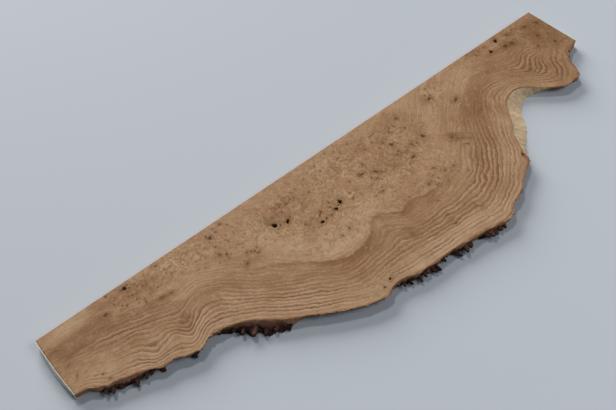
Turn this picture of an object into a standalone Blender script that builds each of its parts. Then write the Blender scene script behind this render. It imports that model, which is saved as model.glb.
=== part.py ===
# Ash burl slab: one grown piece, planed flat on both faces, with one straight sawn back edge, two sawn
# ends and the natural edge of the trunk along the front, where scraps and spikes of bark still sit.
# Metres, +Z up. The slab lies on its sawn underside, back edge towards +Y, natural edge towards -Y.

import math
import random

import bmesh
import bpy
import numpy as np
from mathutils import Matrix, Vector

MM = 0.001

# Driving dimensions of the sawn slab
LENGTH = 600 * MM
THICKNESS = 8 * MM
BACK_EDGE_STEP = 25 * MM
NATURAL_EDGE_STEP = 2.6 * MM
END_STEP = 8 * MM

# The left saw cut bows out a little, its foot leans out further, and its back corner is tucked under
END_BOW = 1.0 * MM
END_LEAN = 1.8 * MM
END_BOW_SPAN = 60 * MM
CORNER_TUCK = 2.0 * MM
CORNER_TUCK_REACH = 12 * MM
CORNER_BLEND_POINTS = 3

# Share of the thickness below the top face at each ring of the wall
WALL_DEPTHS = (0.0, 0.12, 0.34, 0.56, 0.78, 1.0)

# The natural edge on the top face from the left end to the right: x along the back edge, y towards the
# back, and how far the foot of the wall stands out from it (or is tucked under it, where negative), all in
# millimetres
NATURAL_EDGE = [
    (0, -58.6, -1.5), (5, -59.3, -1.5), (10.5, -60.6, -1.5), (15.5, -64.9, -1), (19.4, -66.5, 0.5),
    (22.5, -69, 1.5), (27.4, -68.7, 2.5), (32.8, -71.3, 2.5), (39.9, -73.3, 2), (46, -75.6, 0),
    (53.1, -78.1, -4), (61.1, -83, -5), (67.6, -82.8, -5), (73.5, -83.8, -5), (79.8, -87.1, -4.5),
    (86.3, -88.5, -3), (93, -90.2, -3.5), (100.4, -86.5, -3), (106, -85.6, -2.5), (112.9, -86.9, -1.5),
    (119.8, -88.3, 1), (126.2, -90.8, 4), (133, -94.8, 6), (139.6, -99.4, 6.5), (148.6, -107.1, 6.4),
    (156.9, -113.3, 4), (163, -117.3, 0.5), (170, -121, -3), (179.9, -127.9, -4.5), (188.9, -133.7, -5),
    (197.8, -138.4, -5), (208.3, -143.9, -5), (215, -147.1, -5), (221, -149.1, -4.5),
    (230.6, -151.3, -3.5), (235.2, -151, -3), (238.4, -149.5, -2), (242.3, -147.4, -0.5),
    (249.3, -147.2, 0.5), (254.1, -148.3, 0.5), (259.5, -150.1, 0), (265.5, -152.6, -1),
    (277, -153.7, -1.5), (286.2, -155.1, -1.5), (295.5, -154.9, -1.5), (305.1, -155.2, -1),
    (313.7, -156.9, 0), (324.3, -159.1, -1), (334.7, -159.8, -0.5), (346.2, -162.5, 0), (354.8, -163.8, 0),
    (364.5, -166.3, -2), (371.4, -165, -3), (377.5, -161.5, -3), (381.5, -158.2, -3), (392, -156, -3),
    (398.6, -153.2, -3), (405.7, -148.6, -3), (414.5, -143.4, -3), (422.1, -140.2, -3),
    (428.2, -137.5, -2.5), (432.5, -134, 0), (435.5, -127, 3), (438, -120.5, 6.5), (441, -114, 10),
    (446.4, -105, 14), (457, -94, 15), (465, -83, 15.5), (471.4, -75.8, 15.5), (478.6, -70.5, 15.5),
    (486, -68.6, 15), (494.3, -68.2, 13), (501.4, -70.8, 8.5), (508.6, -76.4, 3), (515.7, -83.3, -1.5),
    (522.9, -88.6, -4.5), (530, -94, -5.5), (538.2, -98.2, -5.5), (549.6, -97.6, -4.5),
    (556, -97.9, -2.5), (560.6, -96.2, -0.5), (564.4, -90.5, 1), (569.2, -80.4, 1.5), (573.8, -73.2, 1.5),
    (580.2, -69.5, 0.5), (589.1, -65.6, 0), (600, -62.4, 0),
]

# Stretches of the natural edge that still carry bark, from x to x in millimetres
BARK_STRETCHES = [(17, 50), (118, 164), (240, 362)]
BARE_ROUGHNESS = 0.18 * MM
BARK_ROUGHNESS = 0.75 * MM
ROUGHNESS_WAVES = (40 * MM, 23 * MM, 13 * MM, 8 * MM, 6 * MM)

# Spikes and lumps of bark low on the wall: x, reach out from the top edge, radius of the root, all in
# millimetres
BARK_SPIKES = [
    (21, 6.6, 3.0), (25, 8.0, 3.5), (31, 7.6, 3.3), (35.5, 6.0, 3.0), (43.5, 8.4, 3.6), (48, 5.8, 2.8),
    (54.5, 4.2, 3.0), (60.5, 2.4, 2.6), (84.5, 1.8, 2.6), (124, 6.6, 3.1), (128.5, 8.0, 3.3),
    (133, 10.0, 3.6), (138, 11.2, 3.8), (144, 9.8, 3.7), (150, 8.8, 3.6), (156.5, 6.6, 3.1),
    (162, 4.6, 2.8), (247.5, 4.6, 2.8), (253, 6.4, 3.1), (257.5, 4.8, 2.8), (267.2, 6.6, 3.2),
    (273.5, 5.8, 3.0), (280.5, 6.8, 3.5), (291, 3.8, 2.8), (298, 4.0, 2.8), (305, 8.0, 3.5),
    (311.5, 5.0, 3.2), (316.6, 7.8, 3.8), (321.8, 4.8, 3.0), (333.5, 3.6, 2.8), (339.2, 5.4, 3.2),
    (344.5, 6.6, 3.6), (349.5, 5.2, 3.3), (353.8, 5.4, 3.4), (358.5, 3.4, 3.0), (433.5, 2.6, 1.6),
]
SPIKE_SIDES = 6
SPIKE_TIP_SHARE = 0.14
SPIKE_FLATNESS = 0.68
SPIKE_ROOT_DEPTH = 3.5 * MM
SPIKE_HEIGHT_ABOVE_FLOOR = 0.4 * MM

# Open bud eyes in the top face: x, y, radius and depth in millimetres
OPEN_EYES = [
    (208.6, -37.6, 2.3, 2.6), (220, -41.6, 2.0, 2.2), (242.2, -62.0, 1.6, 1.8), (260.6, -59.2, 1.7, 2.0),
    (268.3, -55.6, 2.0, 2.4), (350.2, -38.5, 1.9, 1.2), (379.8, -50.0, 1.8, 1.2), (354.2, -62.4, 1.8, 1.0),
    (316.0, -52.0, 1.6, 1.1), (304.2, -46.0, 1.7, 1.0), (159.2, -11.8, 1.9, 1.2), (77.6, -5.6, 1.8, 1.1),
    (52.8, -16.8, 1.9, 0.9), (439.4, -38.4, 2.0, 1.3), (421.0, -20.0, 1.8, 1.1), (519.4, -15.2, 2.0, 1.5),
    (535.8, -7.0, 2.4, 1.6), (244.6, -141.0, 1.0, 1.2), (432.4, -126.6, 1.2, 1.4), (576.6, -13.6, 1.8, 1.0),
]
EYE_SIDES = 10
EYE_FLOOR_SHARE = 0.5
CUT_CLEARANCE = 1.0 * MM

SEED = 71


def smooth_points(points, step):
    """Points about one step apart on a smooth curve through the given rows of numbers."""
    rows = np.array(points, dtype=float)
    ends = np.vstack([2 * rows[0] - rows[1], rows, 2 * rows[-1] - rows[-2]])
    fine = []
    for i in range(len(rows) - 1):
        a, b, c, d = ends[i:i + 4]
        for t in np.linspace(0, 1, 12, endpoint=False):
            fine.append(0.5 * (2 * b + (c - a) * t + (2 * a - 5 * b + 4 * c - d) * t ** 2
                               + (3 * b - a - 3 * c + d) * t ** 3))
    fine.append(rows[-1])
    fine = np.array(fine)
    travelled = np.concatenate([[0], np.cumsum(np.linalg.norm(np.diff(fine[:, :2], axis=0), axis=1))])
    count = int(round(travelled[-1] / step)) + 1
    even = np.linspace(0, travelled[-1], count)
    return np.column_stack([np.interp(even, travelled, fine[:, k]) for k in range(fine.shape[1])])


def outward_directions(line, reach):
    """Unit vectors square to a line that runs along +X, pointing to -Y, averaged over some neighbours."""
    along = np.gradient(line[:, :2], axis=0)
    out = np.column_stack([along[:, 1], -along[:, 0]])
    out /= np.linalg.norm(out, axis=1)[:, None]
    weights = np.hanning(2 * reach + 3)[1:-1]
    padded = np.vstack([np.repeat(out[:1], reach, axis=0), out, np.repeat(out[-1:], reach, axis=0)])
    mean = np.column_stack([np.convolve(padded[:, k], weights, mode="valid") for k in range(2)])
    return mean / np.linalg.norm(mean, axis=1)[:, None]


def roughness_along(count, rng):
    """A seeded uneven line between about -1 and 1, summed from waves of several lengths."""
    travelled = np.arange(count) * NATURAL_EDGE_STEP
    total = np.zeros(count)
    for length in ROUGHNESS_WAVES:
        turns = travelled / length + rng.uniform(0, 1)
        total += rng.uniform(0.5, 1) * np.sin(2 * math.pi * turns)
    return total * 1.7 / len(ROUGHNESS_WAVES)


def natural_edge():
    """The natural edge in metres: its points, its outward directions, the foot's run and the bark share."""
    line = smooth_points(NATURAL_EDGE, NATURAL_EDGE_STEP / MM) * MM
    bark = np.zeros(len(line))
    for start, end in BARK_STRETCHES:
        rise = np.clip((line[:, 0] - start * MM) / (5 * MM), 0, 1)
        fall = np.clip((end * MM - line[:, 0]) / (5 * MM), 0, 1)
        bark = np.maximum(bark, rise * fall)
    return line[:, :2], outward_directions(line, 4), line[:, 2], bark


def left_end_x(y, share):
    """Where the left saw cut stands at a place along it and a share of the thickness below the top."""
    bulge = math.sin(math.pi * -y / END_BOW_SPAN)
    tuck = CORNER_TUCK * math.exp(y / CORNER_TUCK_REACH)
    return share * tuck - (END_BOW + END_LEAN * share) * bulge


def slab_rings():
    """One closed ring of points for each wall depth, all with the same count, seen anticlockwise."""
    rng = random.Random(SEED)
    edge, out, run, bark = natural_edge()
    rough = roughness_along(len(edge), rng)
    end_width = -edge[0][1]
    end_ys = np.linspace(0, -end_width, int(end_width / END_STEP) + 1)[:-1]
    right_ys = np.linspace(edge[-1][1], 0, 3)[1:]
    back_xs = np.arange(LENGTH - BACK_EDGE_STEP, 0, -BACK_EDGE_STEP)
    rings = []
    for share in WALL_DEPTHS:
        z = THICKNESS * (1 - share)
        wave = roughness_along(len(edge), rng)
        stand = run * share ** 1.15
        stand += (BARE_ROUGHNESS + BARK_ROUGHNESS * bark) * (0.6 * rough + 0.7 * wave) * (1 if share else 0)
        stand[-1] = 0
        ring = []
        for y in end_ys:
            ring.append((left_end_x(y, share), y, z))
        for i, (point, direction) in enumerate(zip(edge, out)):
            x, y = point + direction * stand[i]
            x += left_end_x(y, share) * max(0, 1 - i / CORNER_BLEND_POINTS)
            ring.append((min(x, LENGTH), y, z))
        ring += [(LENGTH, y, z) for y in right_ys]
        ring += [(x, 0, z) for x in back_xs]
        rings.append(ring)
    return rings


def mesh_object(name, bm, collection):
    """An object of its own from a bmesh, with its faces turned outwards."""
    bmesh.ops.recalc_face_normals(bm, faces=bm.faces)
    mesh = bpy.data.meshes.new(name)
    bm.to_mesh(mesh)
    bm.free()
    obj = bpy.data.objects.new(name, mesh)
    collection.objects.link(obj)
    return obj


def new_collection(name):
    collection = bpy.data.collections.new(name)
    bpy.context.scene.collection.children.link(collection)
    return collection


def build_slab(collection):
    """The board as a loft from the top outline down to the foot, closed by its two sawn faces."""
    bm = bmesh.new()
    rings = [[bm.verts.new(point) for point in ring] for ring in slab_rings()]
    for upper, lower in zip(rings, rings[1:]):
        for i in range(len(upper)):
            j = (i + 1) % len(upper)
            bm.faces.new((upper[i], lower[i], lower[j], upper[j]))
    bm.faces.new(rings[0])
    bm.faces.new(reversed(rings[-1]))
    return mesh_object("ash_burl", bm, collection)


def build_bark_spikes(collection):
    """Few-sided spikes and lumps of bark, their roots sunk in the wall."""
    rng = random.Random(SEED + 1)
    edge, out, run, bark = natural_edge()
    for number, (x, reach, radius) in enumerate(BARK_SPIKES):
        i = int(np.argmin(np.abs(edge[:, 0] - x * MM)))
        turn = rng.uniform(-0.45, 0.45)
        direction = Matrix.Rotation(turn, 3, "Z") @ Vector((out[i][0], out[i][1], 0))
        direction.z = rng.uniform(-0.02, 0.16)
        direction.normalize()
        length = reach * MM + SPIKE_ROOT_DEPTH
        root = Vector((edge[i][0], edge[i][1], 0)) - Vector((out[i][0], out[i][1], 0)) * SPIKE_ROOT_DEPTH
        root.z = radius * SPIKE_FLATNESS * MM + SPIKE_HEIGHT_ABOVE_FLOOR + rng.uniform(0, 1.1) * MM
        stretch = rng.uniform(1.0, 1.5)
        bm = bmesh.new()
        bmesh.ops.create_cone(bm, cap_ends=True, cap_tris=False, segments=SPIKE_SIDES,
                              radius1=radius * MM, radius2=radius * MM * SPIKE_TIP_SHARE, depth=length,
                              matrix=Matrix.Translation((0, 0, length / 2)))
        bm.transform(Matrix.Rotation(rng.uniform(0, 6.28), 4, "Z"))
        spin = Vector((0, 0, 1)).rotation_difference(direction).to_matrix().to_4x4()
        bm.transform(spin)
        bm.transform(Matrix.Diagonal((stretch, 1, SPIKE_FLATNESS, 1)))
        bm.transform(Matrix.Translation(root))
        mesh_object("bark_spike_%02d" % number, bm, collection)


def build_eye_cutters(collection):
    """Short tapered plugs that cut the open bud eyes into the top face."""
    for number, (x, y, radius, depth) in enumerate(OPEN_EYES):
        height = depth * MM + CUT_CLEARANCE
        bm = bmesh.new()
        bmesh.ops.create_cone(bm, cap_ends=True, cap_tris=False, segments=EYE_SIDES,
                              radius1=radius * MM * EYE_FLOOR_SHARE, radius2=radius * MM, depth=height,
                              matrix=Matrix.Translation((x * MM, y * MM,
                                                         THICKNESS - depth * MM + height / 2)))
        cutter = mesh_object("eye_cutter_%02d" % number, bm, collection)
        cutter.hide_render = True
        cutter.display_type = "WIRE"


def combine(obj, collection, operation):
    """Joins or cuts the collection's objects in one Boolean, then removes them."""
    boolean = obj.modifiers.new(operation.lower(), "BOOLEAN")
    boolean.operation = operation
    boolean.operand_type = "COLLECTION"
    boolean.collection = collection
    boolean.solver = "EXACT"
    depsgraph = bpy.context.evaluated_depsgraph_get()
    result = bpy.data.meshes.new_from_object(obj.evaluated_get(depsgraph))
    obj.modifiers.clear()
    obj.data = result
    for other in list(collection.objects):
        bpy.data.objects.remove(other, do_unlink=True)
    bpy.data.collections.remove(collection)


def set_on_origin(obj):
    """Moves the mesh so that the origin is under the middle of the slab's box, on its underside."""
    points = np.array([v.co for v in obj.data.vertices])
    low, high = points.min(axis=0), points.max(axis=0)
    obj.data.transform(Matrix.Translation((-(low[0] + high[0]) / 2, -(low[1] + high[1]) / 2, -low[2])))


def triangulate(obj):
    bm = bmesh.new()
    bm.from_mesh(obj.data)
    bmesh.ops.remove_doubles(bm, verts=bm.verts, dist=0.00002)
    bmesh.ops.triangulate(bm, faces=bm.faces, ngon_method="BEAUTY")
    bm.to_mesh(obj.data)
    bm.free()


def wood_material():
    material = bpy.data.materials.new("ash_wood")
    material.use_nodes = True
    shader = material.node_tree.nodes["Principled BSDF"]
    shader.inputs["Base Color"].default_value = (0.34, 0.20, 0.125, 1)
    shader.inputs["Roughness"].default_value = 0.62
    shader.inputs["Metallic"].default_value = 0
    return material


for old in list(bpy.data.objects):
    bpy.data.objects.remove(old, do_unlink=True)

slab_collection = new_collection("ash_burl")
spike_collection = new_collection("bark_spikes")
eye_collection = new_collection("eye_cutters")

slab = build_slab(slab_collection)
build_bark_spikes(spike_collection)
combine(slab, spike_collection, "UNION")
build_eye_cutters(eye_collection)
combine(slab, eye_collection, "DIFFERENCE")
triangulate(slab)
set_on_origin(slab)
slab.data.materials.clear()
slab.data.materials.append(wood_material())
slab.data.shade_flat()
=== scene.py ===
import math
import random

import bmesh
import bpy
import numpy as np
from mathutils import Matrix, Vector, noise
from mathutils.geometry import delaunay_2d_cdt


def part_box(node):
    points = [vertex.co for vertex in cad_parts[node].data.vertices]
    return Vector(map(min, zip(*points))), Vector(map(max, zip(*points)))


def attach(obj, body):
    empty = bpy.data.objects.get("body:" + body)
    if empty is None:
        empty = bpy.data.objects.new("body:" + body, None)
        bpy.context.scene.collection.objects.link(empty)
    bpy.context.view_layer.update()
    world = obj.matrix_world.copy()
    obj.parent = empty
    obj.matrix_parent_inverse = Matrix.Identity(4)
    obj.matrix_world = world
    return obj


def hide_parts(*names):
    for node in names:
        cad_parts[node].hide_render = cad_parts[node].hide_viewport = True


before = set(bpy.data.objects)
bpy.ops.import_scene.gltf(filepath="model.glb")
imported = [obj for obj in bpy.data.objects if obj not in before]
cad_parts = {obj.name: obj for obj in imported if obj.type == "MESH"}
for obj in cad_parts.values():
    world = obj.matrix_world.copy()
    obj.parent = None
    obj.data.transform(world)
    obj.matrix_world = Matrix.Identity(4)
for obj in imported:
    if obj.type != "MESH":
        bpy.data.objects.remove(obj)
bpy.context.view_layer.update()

# A thin slab of ash burl that lies flat on a pale table. The trunk was sawn lengthways, so the front edge is
# the outside of the tree and the back edge and both ends are square saw cuts. All lengths are in
# millimetres from the back left corner of the top face until a mesh is finished, which is in metres.
MM = 0.001
LENGTH = 600.0
slab_low, slab_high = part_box("ash_burl")
THICKNESS = (slab_high[2] - slab_low[2]) / MM
CORNER = Vector((slab_high[0] - LENGTH * MM, slab_high[1], slab_high[2]))


def in_frame(points):
    """Rows of x, y and depth below the top face in millimetres, as x, y, z of the frame in metres."""
    points = np.asarray(points, dtype=float)
    placed = np.empty_like(points)
    placed[:, 0] = CORNER.x + points[:, 0] * MM
    placed[:, 1] = CORNER.y + points[:, 1] * MM
    placed[:, 2] = CORNER.z - points[:, 2] * MM
    return np.clip(placed, slab_low, slab_high)


def mesh_object(name, points, faces, material):
    """A finished piece at the origin, with its place in its mesh."""
    mesh = bpy.data.meshes.new(name)
    mesh.from_pydata([tuple(p) for p in in_frame(points)], [], faces)
    mesh.materials.append(material)
    mesh.update()
    piece = bpy.data.objects.new(name, mesh)
    bpy.context.scene.collection.objects.link(piece)
    return piece


# The camera looks down on the slab from its left front, as the photograph does, from about half a metre
# above it. Its foot is given on the slab's own axes.
CAMERA_FOOT = (-26.9, -347.0)
CAMERA_HEIGHT_ABOVE_TOP = 528.7
CAMERA_PITCH_DOWN = math.radians(52.2)
CAMERA_TURN = math.radians(-41.5)
camera_data = bpy.data.cameras.new("camera")
camera_data.sensor_width = 36
camera_data.lens = 44.77
camera = bpy.data.objects.new("camera", camera_data)
camera.location = (CORNER.x + CAMERA_FOOT[0] * MM, CORNER.y + CAMERA_FOOT[1] * MM,
                   CORNER.z + CAMERA_HEIGHT_ABOVE_TOP * MM)
camera.rotation_euler = (math.pi / 2 - CAMERA_PITCH_DOWN, 0, CAMERA_TURN)
bpy.context.scene.collection.objects.link(camera)
bpy.context.scene.camera = camera
bpy.context.scene.view_settings.view_transform = "Standard"

# The table is one plain pale sheet. A wide low window beyond the slab gives the broad soft shadow along its
# front edge, a small high lamp gives the short crisp one, and a soft sheet at the right front and the room
# fill in the rest.
table_mesh = bpy.data.meshes.new("table")
table_mesh.from_pydata([(-4, -4, 0), (4, -4, 0), (4, 4, 0), (-4, 4, 0)], [], [(0, 1, 2, 3)])
table_material = bpy.data.materials.new("pale_table")
table_material.use_nodes = True
table_shader = table_material.node_tree.nodes["Principled BSDF"]
table_shader.inputs["Base Color"].default_value = (0.488, 0.518, 0.55, 1)
table_shader.inputs["Roughness"].default_value = 0.6
table_shader.inputs["Specular IOR Level"].default_value = 0.05
table_mesh.materials.append(table_material)
table = bpy.data.objects.new("table", table_mesh)
table.location.z = slab_low[2] - 0.0002
bpy.context.scene.collection.objects.link(table)


def area_light(name, place, aim, width, height, power, colour):
    """An area light at a place in metres, turned to face another place."""
    data = bpy.data.lights.new(name, "AREA")
    data.shape = "RECTANGLE"
    data.size = width
    data.size_y = height
    data.energy = power
    data.color = colour
    light = bpy.data.objects.new(name, data)
    light.location = place
    light.rotation_euler = (Vector(aim) - Vector(place)).to_track_quat("-Z", "Y").to_euler()
    bpy.context.scene.collection.objects.link(light)


area_light("window", (3.2, 14.8, 5.2), (0, 0, 0), 12.0, 6.8, 4150, (1.0, 0.995, 0.985))
area_light("lamp", (0.7, 2.6, 3.8), (0, 0, 0), 0.6, 0.6, 50, (1.0, 0.98, 0.95))
area_light("overhead", (1.3, -1.5, 2.1), (0.5, -0.1, 0), 1.6, 1.6, 27, (0.94, 0.97, 1.0))
world = bpy.data.worlds.new("soft_room")
world.use_nodes = True
world.node_tree.nodes["Background"].inputs["Color"].default_value = (0.66, 0.8, 1.0, 1)
world.node_tree.nodes["Background"].inputs["Strength"].default_value = 0.117
bpy.context.scene.world = world

# The board is ash that grew as a burl: pale sapwood under the bark, close growth rings that follow the
# outside of the trunk, a brown heart, and in the middle a swirled pale figure full of dark bud eyes. It is
# planed flat on both faces.

# The natural edge from left to right: x, y and how far the foot of the wall stands out from the top edge,
# or is tucked under it where negative
NATURAL_EDGE = [
    (0, -58.6, -1.5), (5, -59.3, -1.5), (10.5, -60.6, -1.5), (15.5, -64.9, -1), (19.4, -66.5, 0.5),
    (22.5, -69, 1.5), (27.4, -68.7, 2.5), (32.8, -71.3, 2.5), (39.9, -73.3, 2), (46, -75.6, 0),
    (53.1, -78.1, -4), (61.1, -83, -5), (67.6, -82.8, -5), (73.5, -83.8, -5), (79.8, -87.1, -4.5),
    (86.3, -88.5, -3), (93, -90.2, -3.5), (100.4, -86.5, -3), (106, -85.6, -2.5), (112.9, -86.9, -1.5),
    (119.8, -88.3, 1), (126.2, -90.8, 4), (133, -94.8, 6), (139.6, -99.4, 6.5), (148.6, -107.1, 6.4),
    (156.9, -113.3, 4), (163, -117.3, 0.5), (170, -121, -3), (179.9, -127.9, -4.5), (188.9, -133.7, -5),
    (197.8, -138.4, -5), (208.3, -143.9, -5), (215, -147.1, -5), (221, -149.1, -4.5), (230.6, -151.3, -3.5),
    (235.2, -151, -3), (238.4, -149.5, -2), (242.3, -147.4, -0.5), (249.3, -147.2, 0.5),
    (254.1, -148.3, 0.5), (259.5, -150.1, 0), (265.5, -152.6, -1), (277, -153.7, -1.5),
    (286.2, -155.1, -1.5), (295.5, -154.9, -1.5), (305.1, -155.2, -1), (313.7, -156.9, 0),
    (324.3, -159.1, -1), (334.7, -159.8, -0.5), (346.2, -162.5, 0), (354.8, -163.8, 0), (364.5, -166.3, -2),
    (371.4, -165, -3), (377.5, -161.5, -3), (381.5, -158.2, -3), (392, -156, -3), (398.6, -153.2, -3),
    (405.7, -148.6, -3), (414.5, -143.4, -3), (422.1, -140.2, -3), (428.2, -137.5, -2.5), (432.5, -134, 0),
    (435.5, -127, 3), (438, -120.5, 6.5), (441, -114, 10), (446.4, -105, 14), (457, -94, 15),
    (465, -83, 15.5), (471.4, -75.8, 15.5), (478.6, -70.5, 15.5), (486, -68.6, 15), (494.3, -68.2, 13),
    (501.4, -70.8, 8.5), (508.6, -76.4, 3), (515.7, -83.3, -1.5), (522.9, -88.6, -4.5), (530, -94, -5.5),
    (538.2, -98.2, -5.5), (549.6, -97.6, -4.5), (556, -97.9, -2.5), (560.6, -96.2, -0.5), (564.4, -90.5, 1),
    (569.2, -80.4, 1.5), (573.8, -73.2, 1.5), (580.2, -69.5, 0.5), (589.1, -65.6, 0), (600, -62.4, 0),
]
EDGE_STEP = 1.1
SAWN_STEP = 2.4
DIRECTION_REACH = 10
ARRIS = 0.22
END_BOW = 1.0
END_LEAN = 1.8
END_BOW_SPAN = 60
CORNER_TUCK = 2.0
CORNER_TUCK_REACH = 12
WALL_SHARES = (0.03, 0.08, 0.16, 0.25, 0.35, 0.45, 0.55, 0.65, 0.75, 0.84, 0.93, 1.0)
BARK_STRETCHES = [(17, 50), (118, 164), (240, 362)]
BARE_NOTCH = (433, 521)
CHIPPED_STRETCHES = [(56, 112), (168, 238), (368, 434)]
DARK_STRETCHES = [(0, 60), (78, 240), (240, 362), (563, 590)]
END_COAT = 0.2


def smooth_points(points, step):
    """Points about one step apart on a smooth curve through the given rows of numbers."""
    rows = np.array(points, dtype=float)
    ends = np.vstack([2 * rows[0] - rows[1], rows, 2 * rows[-1] - rows[-2]])
    fine = []
    for i in range(len(rows) - 1):
        a, b, c, d = ends[i:i + 4]
        for t in np.linspace(0, 1, 12, endpoint=False):
            fine.append(0.5 * (2 * b + (c - a) * t + (2 * a - 5 * b + 4 * c - d) * t ** 2
                               + (3 * b - a - 3 * c + d) * t ** 3))
    fine.append(rows[-1])
    fine = np.array(fine)
    travelled = np.concatenate([[0], np.cumsum(np.linalg.norm(np.diff(fine[:, :2], axis=0), axis=1))])
    even = np.linspace(0, travelled[-1], int(round(travelled[-1] / step)) + 1)
    return np.column_stack([np.interp(even, travelled, fine[:, k]) for k in range(fine.shape[1])])


def outward_directions(line, reach):
    """Unit vectors square to a line that runs along +X, pointing to -Y, averaged over some neighbours."""
    along = np.gradient(line[:, :2], axis=0)
    out = np.column_stack([along[:, 1], -along[:, 0]])
    out /= np.linalg.norm(out, axis=1)[:, None]
    weights = np.hanning(2 * reach + 3)[1:-1]
    padded = np.vstack([np.repeat(out[:1], reach, axis=0), out, np.repeat(out[-1:], reach, axis=0)])
    mean = np.column_stack([np.convolve(padded[:, k], weights, mode="valid") for k in range(2)])
    return mean / np.linalg.norm(mean, axis=1)[:, None]


def within(x, start, end, fade):
    """1 between start and end, falling to 0 over the fade outside them."""
    return np.clip((x - start) / fade + 1, 0, 1) * np.clip((end - x) / fade + 1, 0, 1)


edge = smooth_points(NATURAL_EDGE, EDGE_STEP)
edge_out = outward_directions(edge, DIRECTION_REACH)
edge_bark = np.max([within(edge[:, 0], start, end, 4) for start, end in BARK_STRETCHES], axis=0)
edge_bare = within(edge[:, 0], *BARE_NOTCH, 5)
edge_chipped = np.max([within(edge[:, 0], start, end, 4) for start, end in CHIPPED_STRETCHES], axis=0)
edge_dark = np.max([within(edge[:, 0], start, end, 4) for start, end in DARK_STRETCHES], axis=0)


def left_end_x(y, share):
    """Where the left saw cut stands: it bows out a little, and its foot leans out but for the back corner."""
    tuck = CORNER_TUCK * math.exp(y / CORNER_TUCK_REACH)
    return share * tuck - (END_BOW + END_LEAN * share) * math.sin(math.pi * -y / END_BOW_SPAN)


def from_left_end(points):
    """How far plane points of the top face are from the bowed left end."""
    return points[:, 0] + END_BOW * np.sin(math.pi * -points[:, 1] / END_BOW_SPAN)


def wall_stand(i, share):
    """How far the wall stands out from the top edge at a point of the natural edge, relief included."""
    x, y, run = edge[i]
    relief = noise.fractal((x / 9, y / 9, share * 1.3), 0.8, 2.1, 4)
    ridges = noise.fractal((x / 2.2, y / 2.2, share * 2.0 + 7), 0.9, 2.0, 2)
    hollows = noise.fractal((x / 7, y / 7, share * 1.8 + 30), 0.7, 2.2, 3) * edge_bare[i]
    rough = 0.4 + 0.3 * edge_bark[i] + 0.55 * edge_bare[i]
    fade_at_corner = min(1, (len(edge) - 1 - i) / 4)
    fine = 0.3 + 0.1 * edge_bare[i] + 1.2 * edge_chipped[i]
    uneven = rough * relief + 0.9 * hollows + fine * ridges
    return (run * share ** 1.15 + uneven * min(1, 0.6 + share * 5)) * fade_at_corner


def outline_ring(share, inset):
    """The closed outline at one depth, anticlockwise from above, pulled in by the inset."""
    depth = THICKNESS * share
    ring = []
    end_ys = np.linspace(0, edge[0][1], int(-edge[0][1] / SAWN_STEP) + 1)[:-1]
    for y in end_ys:
        ring.append((inset + END_COAT + left_end_x(y, share), min(y, -inset), depth))
    for i in range(len(edge)):
        stand = wall_stand(i, share) - inset
        x, y = edge[i][:2] + edge_out[i] * stand
        x += (inset + END_COAT + left_end_x(y, share)) * max(0, 1 - i / 5)
        ring.append((min(x, LENGTH - END_COAT - inset), y, depth))
    for y in np.linspace(edge[-1][1], 0, int(-edge[-1][1] / SAWN_STEP) + 1)[1:]:
        ring.append((LENGTH - END_COAT - inset, min(y, -inset), depth))
    for x in np.linspace(LENGTH - END_COAT, END_COAT, int(LENGTH / SAWN_STEP) + 1)[1:-1]:
        ring.append((x + CORNER_TUCK * share * math.exp(-x / CORNER_TUCK_REACH), -inset, depth))
    return ring


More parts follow.
